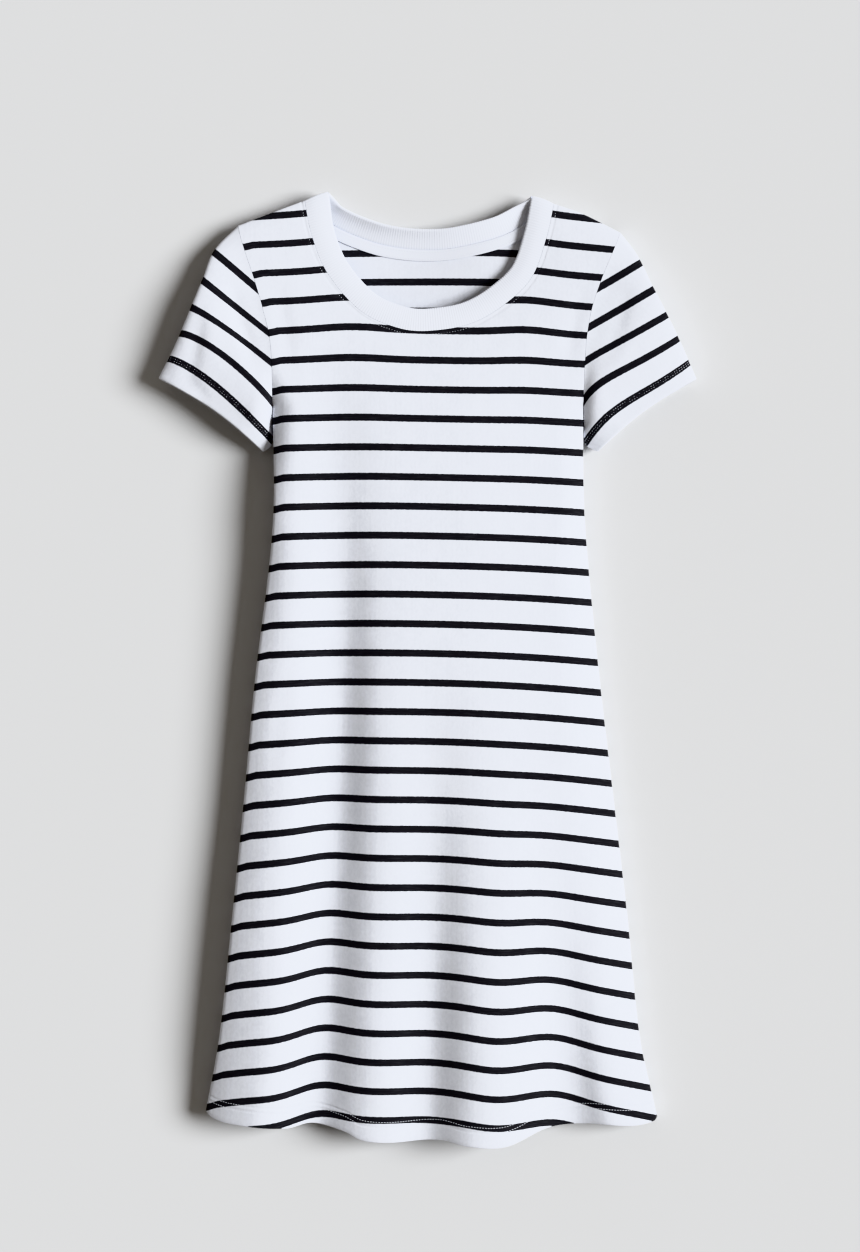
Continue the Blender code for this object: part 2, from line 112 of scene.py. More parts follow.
def bothEnds(steps):  # shares from 0 to 1, closest together at both ends
    return 0.5 - 0.5 * np.cos(np.pi * np.arange(steps + 1) / steps)


def unit(vectors):
    return vectors / np.linalg.norm(vectors, axis=-1, keepdims=True)


def putIn(name, data):  # a new object in the scene
    piece = bpy.data.objects.new(name, data)
    bpy.context.scene.collection.objects.link(piece)
    return piece


# The dress lies face up. X runs across it, Y from hem to neck and Z up from the floor, in metres.

body = {
    "wall": 0.0015,
    "seamGap": 0.0003,
    "sideUnder": 0.016,
    "crowd": {"front": 0.034, "back": 0.016},
    "shoulderRound": 0.025,
    "shoulderUnder": 0.012,
    "underarmY": {"left": 0.1802, "right": 0.1816},
    "armholeSpread": 0.6,
    "bendReach": 0.30,
    "sideRows": {"front": 150, "back": 70},
    "armholeRows": 44,
    "shoulderColumns": 20,
    "neckColumns": {"front": 116, "back": 60},
    "sections": Table(("y", "left", "right", "crown", "leftEdge", "rightEdge", "turn"), (
        (-0.330, -0.1580, 0.1610, 0.0215, 0.0090, 0.0080, 0.040),
        (-0.303, -0.1522, 0.1566, 0.0255, 0.0125, 0.0100, 0.041),
        (-0.254, -0.1430, 0.1460, 0.0300, 0.0188, 0.0122, 0.041),
        (-0.172, -0.1341, 0.1375, 0.0300, 0.0200, 0.0125, 0.037),
        (-0.090, -0.1259, 0.1279, 0.0288, 0.0190, 0.0125, 0.037),
        (-0.008, -0.1183, 0.1183, 0.0270, 0.0195, 0.0130, 0.029),
        (0.074, -0.1081, 0.1101, 0.0285, 0.0212, 0.0145, 0.023),
        (0.115, -0.1053, 0.1074, 0.0278, 0.0222, 0.0150, 0.018),
        (0.180, -0.1064, 0.1069, 0.0255, 0.0155, 0.0168, 0.020),
        (0.222, -0.1075, 0.1087, 0.0225, 0.0145, 0.0168, 0.024),
        (0.245, -0.1124, 0.1122, 0.0195, 0.0150, 0.0158, 0.026),
        (0.266, -0.1185, 0.1189, 0.0175, 0.0140, 0.0140, 0.026),
        (0.291, -0.1268, 0.1292, 0.0165, 0.0130, 0.0130, 0.026),
        (0.302, -0.1296, 0.1332, 0.0160, 0.0125, 0.0125, 0.026),
        (0.330, -0.1340, 0.1400, 0.0150, 0.0120, 0.0120, 0.026),
    )),
    "lipRise": 0.0014,
    "lipReach": 0.0016,
    "leastClimb": 0.004,
    "slopeStep": 0.0005,
    "neckSwell": {"x": 0.050, "y": 0.285, "height": 0.0065, "reach": 0.045},
    "neckSink": {"x": 0.001, "y": 0.290, "depth": 0.0050, "reach": 0.080},
    "rightFall": {"start": 0.022, "reach": 0.090, "drop": 0.0055, "top": 0.260, "fade": 0.080},
    "shoulder": Table(("x", "y"), (
        (-0.1296, 0.3044), (-0.1064, 0.3133), (-0.0845, 0.3215), (-0.0690, 0.3274), (0.0000, 0.3400),
        (0.0722, 0.3246), (0.0869, 0.3192), (0.1064, 0.3124), (0.1317, 0.2995),
    )),
    "hem": {
        "front": Table(("x", "y"), (
            (-0.1522, -0.3033), (-0.1485, -0.3075), (-0.1351, -0.3116), (-0.0968, -0.3150),
            (-0.0797, -0.3116), (-0.0578, -0.3167), (-0.0450, -0.3228), (-0.0239, -0.3243),
            (0.0085, -0.3227), (0.0277, -0.3266), (0.0540, -0.3268), (0.0824, -0.3150),
            (0.1094, -0.3122), (0.1419, -0.3134), (0.1560, -0.3104), (0.1580, -0.3078),
        )),
        "back": Table(("x", "y"), (
            (-0.1522, -0.3033), (-0.1000, -0.3070), (0.0000, -0.3080), (0.1000, -0.3085),
            (0.1580, -0.3078),
        )),
    },
    "neckSeam": {
        "front": ((-0.0845, 0.3215), (-0.0800, 0.2990), (-0.0691, 0.2719), (-0.0455, 0.2450),
                  (-0.0192, 0.2332), (0.0013, 0.2315), (0.0300, 0.2367), (0.0534, 0.2502),
                  (0.0716, 0.2685), (0.0822, 0.2975), (0.0869, 0.3192)),
        "back": ((-0.0845, 0.3215), (-0.0660, 0.3061), (-0.0393, 0.2945), (-0.0192, 0.2900),
                 (0.0017, 0.2886), (0.0202, 0.2900), (0.0496, 0.2972), (0.0670, 0.3061),
                 (0.0869, 0.3192)),
    },
    # flutes of the front: positive ones stand up, negative ones sink, and each keeps its depth
    # over the hold share of its length from the hem
    "fluteFoot": -0.320,
    "fluteLean": 0.6,
    "flutes": Table(("hemX", "topX", "topY", "hold", "depth", "reach"), (
        (-0.112, -0.094, -0.100, 0.00, 0.0020, 0.016),
        (-0.080, -0.054, 0.260, 0.25, -0.0112, 0.021),
        (-0.033, -0.025, 0.020, 0.00, 0.0020, 0.017),
        (-0.003, 0.004, 0.060, 0.10, -0.0067, 0.019),
        (0.041, 0.049, 0.060, 0.10, 0.0072, 0.029),
        (0.098, 0.086, -0.100, 0.00, -0.0085, 0.024),
        (0.128, 0.112, -0.150, 0.00, 0.0015, 0.014),
    )),
}

# Soft creases: points along each one, its depth (below zero for a ridge) and its half width
creases = {
    "points": 33,
    "endPower": 0.7,
    "front": (
        {"line": ((-0.104, 0.262), (-0.098, 0.235), (-0.094, 0.205)), "depth": 0.0010, "reach": 0.006},
        {"line": ((0.106, 0.258), (0.099, 0.232), (0.096, 0.206)), "depth": 0.0009, "reach": 0.006},
        {"line": ((-0.0605, -0.120), (-0.0620, -0.030), (-0.0634, 0.050), (-0.0672, 0.120),
                  (-0.0696, 0.235)), "depth": 0.0031, "reach": 0.019},
        {"line": ((-0.0941, 0.0058), (-0.0982, -0.0215), (-0.1057, -0.0763)),
         "depth": 0.0008, "reach": 0.007},
    ),
    "left": (
        {"line": ((-0.1358, 0.2637), (-0.1276, 0.2349), (-0.1180, 0.2082)),
         "depth": 0.0022, "reach": 0.006},
        {"line": ((-0.1536, 0.2561), (-0.1563, 0.2349), (-0.1659, 0.1891)),
         "depth": 0.0016, "reach": 0.006},
        {"line": ((-0.1640, 0.1970), (-0.1501, 0.1823)), "depth": 0.0010, "reach": 0.005},
        {"line": ((-0.1480, 0.2760), (-0.1440, 0.2480), (-0.1330, 0.2100)),
         "depth": 0.0011, "reach": 0.008},
    ),
    "right": (
        {"line": ((0.1380, 0.2600), (0.1300, 0.2330), (0.1225, 0.2100)), "depth": 0.0007, "reach": 0.006},
    ),
}


def creased(x, y, lines):  # how far the cloth sinks at each place
    total = np.zeros_like(x)
    for crease in lines:
        path = trace(crease["line"], np.linspace(0.0, 1.0, creases["points"]))
        away = np.hypot(x[..., None] - path[:, 0], y[..., None] - path[:, 1])
        nearest = away.argmin(axis=-1)
        fade = np.sin(np.pi * (nearest + 1) / (len(path) + 1)) ** creases["endPower"]
        total += crease["depth"] * fade * bell(away.min(axis=-1), crease["reach"])
    return total


def sideDistance(x, y):
    inLeft = x - body["sections"].read("left", y)
    inRight = body["sections"].read("right", y) - x
    underarm = np.where(inLeft < inRight, body["underarmY"]["left"], body["underarmY"]["right"])
    return np.minimum(inLeft, inRight) + np.maximum(y - underarm, 0.0) * body["armholeSpread"]


def shoulderDistance(x, y):
    return body["shoulder"].read("y", x) - y


def flutes(x, y):
    total = np.zeros_like(x)
    for flute in body["flutes"].rows():
        climb = np.maximum((y - body["fluteFoot"]) / (flute["topY"] - body["fluteFoot"]), 0.0)
        middle = mix(flute["hemX"], flute["topX"], climb ** body["fluteLean"])
        fade = 1.0 - softStep((climb - flute["hold"]) / (1.0 - flute["hold"]))
        total += flute["depth"] * bell(x - middle, flute["reach"]) * fade
    return total


def edgeHeight(x, y):
    read = body["sections"].read
    return np.where(x < 0.0, read("leftEdge", y), read("rightEdge", y))


def sideRise(distance, reach, climb):  # share of the climb from a side seam up to the crown
    rest = 1.0 - np.clip(distance / reach, 0.0, 1.0)
    return mix(1.0 - rest ** 2, rise(distance, body["lipReach"]), body["lipRise"] / climb)


def frontHeight(x, y):
    edge = edgeHeight(x, y)
    sink = body["neckSink"]
    sunk = sink["depth"] * bell(np.hypot(x - sink["x"], y - sink["y"]), sink["reach"])
    plain = body["sections"].read("crown", y)
    fall = body["rightFall"]
    fallen = softStep((x - fall["start"]) / fall["reach"]) * softStep((fall["top"] - y) / fall["fade"])
    crown = plain + flutes(x, y) - sunk - fall["drop"] * fallen
    climb = np.maximum(plain - edge, body["leastClimb"])
    turn = sideRise(sideDistance(x, y), body["sections"].read("turn", y), climb)
    turn = turn * rise(shoulderDistance(x, y), body["shoulderRound"])
    return mix(edge, crown, turn) - creased(x, y, creases["front"]) * turn


def backHeight(x, y):
    edge = edgeHeight(x, y) - body["seamGap"]
    turn = rise(sideDistance(x, y), body["sideUnder"])
    turn = turn * rise(shoulderDistance(x, y), body["shoulderUnder"])
    swell = body["neckSwell"]
    swollen = swell["height"] * bell(np.hypot(x - swell["x"], y - swell["y"]), swell["reach"])
    return edge * (1.0 - turn) + swollen * turn


heights = {"front": frontHeight, "back": backHeight}


def raised(panel, plan):
    return np.concatenate((plan, heights[panel](plan[..., 0], plan[..., 1])[..., None]), axis=-1)


def facing(panel, plan):  # places on a panel's form, and which way is up from it there
    point = raised(panel, plan)
    beside = raised(panel, plan + (body["slopeStep"], 0.0)) - point
    beyond = raised(panel, plan + (0.0, body["slopeStep"])) - point
    return point, unit(np.cross(beside, beyond))


sleeves = {
    "rings": 60,
    "setInGap": 0.0002,
    "round": 0.026,  # from each edge up to the crown
    "under": 0.0145,  # from each edge down to the floor
    "cuffBow": 0.0038,
    "underShape": Table(("along", "share"), (
        (0.0, 0.0), (0.25, 0.31), (0.5, 0.62), (0.75, 1.0), (0.9, 0.84), (1.0, 0.0),
    )),
    "blend": 0.55,  # share of the length that the armhole's curve takes to fade
    "stripeRepeat": 0.0195,
    "topStripe": 4.4,  # white above it
    "left": {
        "fold": ((-0.1296, 0.3044), (-0.1462, 0.2872), (-0.1539, 0.2678), (-0.1624, 0.2473),
                 (-0.1733, 0.2215), (-0.1844, 0.1998)),
        "cuffCorner": (-0.1125, 0.1491),
        "underReach": 0.0045,
        "bowLean": 0.70,  # below 1 the stripes bow most near the fold, above 1 near the body
        "sections": Table(("along", "crown", "fold", "under"), (
            (0.0, 0.0250, 0.0130, 0.0150),
            (0.3, 0.0250, 0.0185, 0.0130),
            (0.7, 0.0243, 0.0190, 0.0110),
            (1.0, 0.0205, 0.0155, 0.0105),
        )),
        "stripes": Table(("count", "foldX", "foldY", "seamX", "seamY", "bow"), (
            (0, -0.1768, 0.2113, -0.1070, 0.1570, 0.0068),
            (1, -0.1686, 0.2284, -0.1060, 0.1816, 0.0078),
            (2, -0.1618, 0.2469, -0.1070, 0.2083, 0.0028),
            (3, -0.1539, 0.2657, -0.1111, 0.2315, -0.0002),
            (4, -0.1467, 0.2856, -0.1166, 0.2596, 0.0006),
        )),
    },
    "right": {
        "fold": ((0.1317, 0.2995), (0.1435, 0.2840), (0.1529, 0.2650), (0.1618, 0.2479),
                 (0.1736, 0.2236), (0.1844, 0.1992)),
        "cuffCorner": (0.1166, 0.1491),
        "underReach": -0.0068,
        "bowLean": 1.80,
        "sections": Table(("along", "crown", "fold", "under"), (
            (0.0, 0.0228, 0.0130, 0.0178),
            (0.3, 0.0228, 0.0180, 0.0165),
            (0.7, 0.0225, 0.0185, 0.0138),
            (1.0, 0.0205, 0.0155, 0.0110),
        )),
        "stripes": Table(("count", "foldX", "foldY", "seamX", "seamY", "bow"), (
            (0, 0.1796, 0.2098, 0.1091, 0.1556, 0.0064),
            (1, 0.1710, 0.2255, 0.1091, 0.1843, 0.0053),
            (2, 0.1625, 0.2412, 0.1098, 0.2096, 0.0021),
            (3, 0.1539, 0.2591, 0.1112, 0.2329, 0.0014),
            (4, 0.1453, 0.2777, 0.1146, 0.2582, 0.0028),
        )),
    },
}

band = {
    "wall": 0.0020,
    "height": 0.0150,
    "bulge": 0.0007,
    "backLift": 0.0065,
    "liftPower": 0.5,
    "backPlan": 0.0132,
    "turn": 0.030,
    "rows": 14,
    "tips": ((-0.0690, 0.3274), (0.0722, 0.3246)),
    "ribPitch": 0.0018,
    "coursePitch": 0.00075,
    # colour share in the rib valleys: painted shade
    "shade": 0.93,
}

tape = {
    "wall": 0.0008,
    "width": 0.0070,
    "inset": 0.0008,
    "clear": 0.0004,
    "points": 121,
    "skip": 0.11,  # share left free at each end of the seam
    "rows": 6,
    "twillPitch": 0.0011,
    # colour share along the twill lines: painted shade
    "shade": 0.94,
}


# Stripes: the knit's own length along the garment, with a stripe centred at every whole repeat

stripes = {
    "repeat": 0.02007,
    "width": 0.0050,
    "first": 0.2312,
    "droopPower": 2.2,
    "droopLimit": 1.2,
    "leftDroop": {"drop": 0.0012, "reach": 0.008},
    "fall": Table(("y", "slope", "left", "right", "lift"), (
        (-0.300, 0.0240, 0.0145, 0.0160, 0.0012),
        (-0.150, 0.0225, 0.0096, 0.0090, 0.0001),
        (-0.010, 0.0200, 0.0043, 0.0045, -0.0001),
        (0.070, 0.0190, 0.0033, 0.0028, 0.0000),
        (0.170, 0.0165, 0.0020, 0.0010, 0.0000),
        (0.210, 0.0110, 0.0015, 0.0014, 0.0000),
        (0.250, 0.0034, 0.0012, 0.0041, 0.0010),
        (0.270, -0.0004, 0.0016, 0.0047, 0.0014),
        (0.310, -0.0080, 0.0030, 0.0085, 0.0021),
    )),
    # where the front's folds lift the stripes, or drop them below zero
    "waves": Table(("hemX", "topX", "topY", "lift", "reach"), (
        (-0.1080, -0.0920, -0.080, -0.0008, 0.016),
        (-0.0735, -0.0620, 0.040, 0.0049, 0.020),
        (-0.0260, -0.0220, 0.000, -0.0002, 0.018),
        (0.0450, 0.0520, 0.000, -0.0028, 0.022),
        (0.0890, 0.0790, -0.070, 0.0040, 0.022),
    )),
    "chestWaves": Table(("x", "lift", "reach"), ((-0.053, 0.0025, 0.030), (0.068, 0.0020, 0.022))),
    "chestFade": 0.045,
    "backShift": -0.00504,  # the back's stripes at the neck, easing to none at the waist
    "backLow": 0.080,
    "backHigh": 0.240,
}


def lifted(x, y):
    total = np.zeros_like(x)
    for crest in stripes["waves"].rows():
        climb = (y - body["fluteFoot"]) / (crest["topY"] - body["fluteFoot"])
        middle = mix(crest["hemX"], crest["topX"], climb)
        total += crest["lift"] * bell(x - middle, crest["reach"]) * (1.0 - softStep(climb))
    fade = np.exp(-np.maximum(stripes["first"] - y, 0.0) / stripes["chestFade"])
    for crest in stripes["chestWaves"].rows():
        total += crest["lift"] * bell(x - crest["x"], crest["reach"]) * fade
    return total


def knitPlace(panel, x, y):
    fall = stripes["fall"]
    left = body["sections"].read("left", y)
    right = body["sections"].read("right", y)
    out = np.abs(np.where(x < 0.0, x / left, x / right))
    droop = np.where(x < 0.0, fall.read("left", y), fall.read("right", y))
    out = np.minimum(out, stripes["droopLimit"])
    place = y + fall.read("slope", y) * x + droop * out ** stripes["droopPower"]
    if panel == "front":
        edge = stripes["leftDroop"]
        drop = edge["drop"] * (1.0 - softStep((x - left) / edge["reach"]))
        place = place - fall.read("lift", y) - lifted(x, y) + drop
    else:
        share = softStep((y - stripes["backLow"]) / (stripes["backHigh"] - stripes["backLow"]))
        place = place - stripes["backShift"] * share
    return (place - stripes["first"]) / stripes["repeat"]


# Grids and shells

def hemPlan(panel):
    hem = body["hem"][panel]
    start, end = hem.values["x"][0], hem.values["x"][-1]
    reach = body["crowd"][panel]
    turn = reach * rounded(body["shoulderColumns"])
    count = body["neckColumns"][panel]
    middle = mix(start + reach, end - reach, np.arange(1, count) / count)
    x = np.concatenate((start + turn, middle, end - turn[::-1]))
    return np.stack((x, hem.read("y", x)), axis=1)


def topPlan(panel):
    sides = {}
    for side, place in (("left", 0), ("right", -1)):
        tip = sleeves[side]["fold"][0][0]
        neck = body["neckSeam"]["front"][place][0]
        x = mix(tip, neck, rounded(body["shoulderColumns"]))
        sides[side] = np.stack((x, body["shoulder"].read("y", x)), axis=1)
    neck = neckPlan(panel)
    return np.concatenate((sides["left"][:-1], neck, sides["right"][-2::-1]))


def neckPlan(panel):
    return trace(body["neckSeam"][panel], bothEnds(body["neckColumns"][panel]))


def sidePlan(side, panel):
    hem = body["hem"]["front"].values
    place = 0 if side == "left" else -1
    tip = sleeves[side]["fold"][0]
    under = body["underarmY"][side]
    rows = body["sideRows"][panel]
    low = mix(hem["y"][place], under, np.arange(rows) / rows)
    high = mix(under, tip[1], bothEnds(body["armholeRows"]))
    y = np.concatenate((low, high))
    x = body["sections"].read(side, y)
    x[0] = hem["x"][place]
    x[-1] = tip[0]
    return np.stack((x, y), axis=1)


def panelPlan(low, high, left, right):  # the bends of the sides fade inward
    v = ((left[:, 1] - left[0, 1]) / (left[-1, 1] - left[0, 1]))[:, None]
    bendLeft = left - mix(left[0], left[-1], v)
    bendRight = right - mix(right[0], right[-1], v)
    lowShare = (low[:, 0] - low[0, 0]) / (low[-1, 0] - low[0, 0])
    highShare = (high[:, 0] - high[0, 0]) / (high[-1, 0] - high[0, 0])
    share = mix(lowShare[None], highShare[None], v)
    nearLeft = np.maximum(1.0 - share / body["bendReach"], 0.0) ** 2
    nearRight = np.maximum(1.0 - (1.0 - share) / body["bendReach"], 0.0) ** 2
    plan = mix(low[None], high[None], v[..., None])
    return plan + bendLeft[:, None] * nearLeft[..., None] + bendRight[:, None] * nearRight[..., None]


def gridNormals(grid, ring):
    ahead = np.roll(grid, -1, axis=1)
    behind = np.roll(grid, 1, axis=1)
    if not ring:
        ahead[:, -1] = grid[:, -1]
        behind[:, 0] = grid[:, 0]
    climb = np.concatenate((grid[1:], grid[-1:])) - np.concatenate((grid[:1], grid[:-1]))
    return unit(np.cross(ahead - behind, climb))


def levelNormals(along, outward):  # square to a seam and level, on the outward side
    normals = unit(np.cross(along, (0.0, 0.0, 1.0)))
    facing = np.sign(normals @ np.asarray(outward, float))
    return normals * facing[..., None]


def foldRows(outer, inner, beside, steps):  # rows round a folded edge, from the outer to the inner wall
    middle = (outer + inner) / 2
    half = (outer - inner) / 2
    away = outer - beside
    away = away - unit(half) * np.sum(away * unit(half), axis=-1, keepdims=True)
    away = unit(away) * np.linalg.norm(half, axis=-1, keepdims=True)
    turns = np.pi * np.arange(1, steps) / steps
    return [middle + half * np.cos(turn) + away * np.sin(turn) for turn in turns]


shell = {"foldSteps": 4, "sharpAngle": 55.0}


def makeShell(name, outer, normals, walls, maps, ring=False, flip=False, folds=(False, False)):
    # closed wall through the outer grid, the inner one and the rows round its two ends
    inner = outer - normals * walls
    steps = shell["foldSteps"]
    atEnd = foldRows(outer[-1], inner[-1], outer[-2], steps) if folds[1] else []
    atStart = foldRows(outer[0], inner[0], outer[1], steps)[::-1] if folds[0] else []
    loop = np.concatenate((outer, *[row[None] for row in atEnd], inner[::-1],
                           *[row[None] for row in atStart]))
    rows, columns = loop.shape[:2]
    grid = len(outer)
    source = np.concatenate((np.arange(grid), np.full(len(atEnd), grid - 1), np.arange(grid)[::-1],
                             np.full(len(atStart), 0)))
    spans = columns if ring else columns - 1
    row, column = np.meshgrid(np.arange(rows), np.arange(spans), indexing="ij")
    corners = ((0, 0), (0, 1), (1, 1), (1, 0))
    if flip:
        corners = corners[::-1]
    cornerRows = np.stack([(row + down) % rows for down, _ in corners], axis=-1).reshape(-1, 4)
    cornerColumns = np.stack([column + across for _, across in corners], axis=-1).reshape(-1, 4)
    quads = cornerRows * columns + cornerColumns % columns
    faces = quads.tolist()
    uvRows = [source[cornerRows].ravel()]
    uvColumns = [cornerColumns.ravel()]
    if not ring:  # the two side walls, and the ends of the folded rows
        endRows = np.concatenate(([grid - 1], np.arange(grid, grid + len(atEnd)), [grid + len(atEnd)]))
        startRows = np.concatenate((np.arange(rows - len(atStart), rows), [0]))
        startRows = np.concatenate(([2 * grid + len(atEnd) - 1], startRows))
        for place in (0, columns - 1):
            outward = (place == 0) != flip
            last = 2 * grid + len(atEnd) - 1
            quads = [[step, step + 1, last - 1 - step, last - step] for step in range(grid - 1)]
            caps = [list(line) for line in (endRows, startRows) if len(line) > 2]
            for corner in quads + caps:
                line = corner if outward else corner[::-1]
                faces.append([int(at) * columns + place for at in line])
                uvRows.append(source[np.array(line)])
                uvColumns.append(np.full(len(line), place))
    mesh = bpy.data.meshes.new(name)
    mesh.from_pydata(loop.reshape(-1, 3).tolist(), [], faces)
    uvRows = np.concatenate(uvRows)
    uvColumns = np.concatenate(uvColumns)
    for title, values in maps.items():
        layer = mesh.uv_layers.new(name=title)
        layer.data.foreach_set("uv", values[uvRows, uvColumns].astype(np.float32).ravel())
    mesh.shade_smooth()
    mesh.set_sharp_from_angle(angle=math.radians(shell["sharpAngle"]))
    return putIn(name, mesh)


def areaOf(grid, ring=False):
    if ring:
        grid = np.concatenate((grid, grid[:, :1]), axis=1)
    near = grid[1:, 1:] - grid[:-1, :-1]
    across = grid[1:, :-1] - grid[:-1, 1:]
    return float(np.linalg.norm(np.cross(near, across), axis=-1).sum() / 2)


# Shader building

def addNode(tree, kind, settings=None, inputs=None):
    node = tree.nodes.new(kind)
    for key, value in (settings or {}).items():
        setattr(node, key, value)
    feedNode(tree, node, inputs or {})
    return node


def feedNode(tree, node, inputs):
    for key, value in inputs.items():
        if isinstance(value, Shade):
            value = value.socket
        if isinstance(value, bpy.types.NodeSocket):
            tree.links.new(value, node.inputs[key])
        else:
            node.inputs[key].default_value = value


def calc(operation, *values):
    desk = next(value.desk for value in values if isinstance(value, Shade))
    node = desk.add("ShaderNodeMath", {"operation": operation}, dict(enumerate(values)))
    return Shade(desk, node.outputs[0])


class Shade:  # a number in a shader tree
    def __init__(self, desk, socket):
        self.desk = desk
        self.socket = socket

    def __add__(self, other):
        return calc("ADD", self, other)

    def __radd__(self, other):
        return calc("ADD", other, self)

    def __sub__(self, other):
        return calc("SUBTRACT", self, other)

    def __mul__(self, other):
        return calc("MULTIPLY", self, other)

    def __truediv__(self, other):
        return calc("DIVIDE", self, other)


class Desk:  # a material and its nodes
    def __init__(self, name):
        self.material = bpy.data.materials.new(name)
        self.material.use_nodes = True
        self.tree = self.material.node_tree
        self.shader = self.tree.nodes["Principled BSDF"]

    def add(self, kind, settings=None, inputs=None):
        return addNode(self.tree, kind, settings, inputs)

    def finish(self, inputs):  # the material, once its shader has these inputs
        feedNode(self.tree, self.shader, inputs)
        return self.material

    def map(self, name):  # the two numbers of a UV map
        layer = self.add("ShaderNodeUVMap", {"uv_map": name})
        split = self.add("ShaderNodeSeparateXYZ", None, {"Vector": layer.outputs["UV"]})
        return Shade(self, split.outputs["X"]), Shade(self, split.outputs["Y"])

    def place(self, x, y, z=0.0):
        return self.add("ShaderNodeCombineXYZ", None, {"X": x, "Y": y, "Z": z}).outputs["Vector"]

    def noise(self, vector, scale, detail=2.0):
        node = self.add("ShaderNodeTexNoise", None, {"Vector": vector, "Scale": scale, "Detail": detail})
        return Shade(self, node.outputs["Fac"])

    def ramp(self, value, low, high, start=0.0, end=1.0):  # smooth from start to end
        node = self.add("ShaderNodeMapRange", {"interpolation_type": "SMOOTHSTEP"},
                        {"Value": value, "From Min": low, "From Max": high, "To Min": start, "To Max": end})
        return Shade(self, node.outputs["Result"])

    def blend(self, share, start, end):
        node = self.add("ShaderNodeMix", {"data_type": "RGBA"}, {"Factor": share, "A": start, "B": end})
        return node.outputs["Result"]

    def bump(self, height, distance, strength=1.0):
        inputs = {"Height": height, "Distance": distance, "Strength": strength}
        return self.add("ShaderNodeBump", None, inputs).outputs["Normal"]


def wave(value):  # 0 to 1 and back once for every whole number
    return (calc("COSINE", value * math.tau) * -0.5) + 0.5


def nearWhole(value):  # distance to the nearest whole number
    return calc("ABSOLUTE", calc("FRACT", value + 0.5) - 0.5)


# a darker copy of a colour: random flecks in the jersey, painted shade in the rib valleys and twill lines
def shaded(colour, share):
    return (*(share * part for part in colour[:3]), 1.0)


cottonFuzz = {"Sheen Weight": 0.06, "Sheen Roughness": 0.5, "Specular IOR Level": 0.25}

jersey = {
    "white": (0.800, 0.822, 0.890, 1.0),
    "fleck": 0.86,
    "black": (0.0110, 0.0104, 0.0125, 1.0),
    "blackStreak": (0.0240, 0.0235, 0.0265, 1.0),
    "walePitch": 0.00085,
    "coursePitch": 0.00070,
    "edgeSoft": 0.00016,
    "jag": 0.00034,
    "uneven": (420.0, 9.0),  # noise on the stripes' edges, for each metre across and repeat up
    "streaks": (120.0, 0.9),  # noise in the black, for each metre across and course up
    "flecks": (  # noise in the white, for each metre across and repeat up, and its strength
        (620.0, 7.0, 0.45),
        (130.0, 1.6, 0.35),
        (26.0, 0.6, 0.20),
    ),
    "veeLean": 1.1,
    "relief": 0.10,
    "hemGroove": 280.0,  # dip under a row of stitches, for each metre of its half width
    "neckGroove": 250.0,
    "roughness": (0.84, 0.93),
}


def jerseyCloth(name, repeat, stitchRows, groove, neckRow=None):
    desk = Desk(name)
    across, repeats = desk.map("knit")
    courses = repeats * (repeat / jersey["coursePitch"])
    wales = across / jersey["walePitch"]
    vee = nearWhole(wales)
    wide, high = jersey["uneven"]
    uneven = desk.noise(desk.place(across * wide, repeats * high), 1.0) - 0.5
    edge = nearWhole(repeats) * repeat
    edge = edge + (vee - 0.25) * jersey["jag"] + uneven * (jersey["jag"] * 1.6)
    half = stripes["width"] / 2
    dark = desk.ramp(edge, half - jersey["edgeSoft"], half + jersey["edgeSoft"], 1.0, 0.0)
    wide, high = jersey["streaks"]
    streak = desk.noise(desk.place(across * wide, courses * high), 1.0, 3.0)
    black = desk.blend(desk.ramp(streak, 0.42, 0.72), jersey["black"], jersey["blackStreak"])
    flecked = 0.0
    for wide, high, share in jersey["flecks"]:
        fleck = desk.noise(desk.place(across * wide, repeats * high), 1.0, 3.0)
        flecked = flecked + desk.ramp(fleck, 0.3, 0.7, 0.0, share)
    white = desk.blend(flecked, jersey["white"], shaded(jersey["white"], jersey["fleck"]))
    knit = wave(wales) * 0.5 + wave(courses + vee * jersey["veeLean"]) * 0.5
    relief = knit * jersey["relief"]
    fromNeck, fromHem = desk.map("edges")
    rows = [(fromHem - row, jersey["hemGroove"]) for row in stitchRows]
    if neckRow is not None:
        rows.append((fromNeck - neckRow, jersey["neckGroove"]))
    for away, depth in rows:
        relief = relief - desk.ramp(calc("ABSOLUTE", away), 0.0, groove, groove * depth, 0.0)
    return desk.finish({
        "Base Color": desk.blend(dark, white, black),
        "Roughness": desk.ramp(knit, 0.0, 1.0, *jersey["roughness"]),
        "Normal": desk.bump(relief, 0.001, 0.55),
        **cottonFuzz,
    })


def ribCloth():
    desk = Desk("ribbedCotton")
    ribs, across = desk.map("knit")
    ridge = wave(ribs)
    courses = wave(across / band["coursePitch"] + nearWhole(ribs) * 1.2)
    cloudy = desk.noise(desk.place(ribs * 0.35, across * 60.0), 1.0, 3.0)
    # the rib valleys get a darker colour: painted shade, with a cloudy tone that differs at random
    valleyShadeAndTone = desk.ramp(ridge, 0.1, 0.9, 0.35, 0.0) + cloudy * 0.2
    return desk.finish({
        "Base Color": desk.blend(valleyShadeAndTone, jersey["white"], shaded(jersey["white"], band["shade"])),
        "Roughness": desk.ramp(cloudy, 0.2, 0.8, 0.82, 0.92),
        "Normal": desk.bump(ridge * 0.14 + courses * 0.04, 0.001, 0.6),
        **cottonFuzz,
    })


def tapeCloth():
    desk = Desk("twillTape")
    across, up = desk.map("knit")
    twill = wave((across + up) / tape["twillPitch"])
    cloudy = desk.noise(desk.place(across * 90.0, up * 90.0), 1.0)
    shade = shaded(jersey["white"], tape["shade"])
    return desk.finish({
        # the twill lines get a darker colour: painted shade, with a cloudy tone that differs at random
        "Base Color": desk.blend(twill * 0.4 + cloudy * 0.3, jersey["white"], shade),
        "Roughness": desk.ramp(cloudy, 0.2, 0.8, 0.72, 0.84),
        "Normal": desk.bump(twill * 0.12, 0.001, 0.6),
        "Specular IOR Level": 0.3,
    })


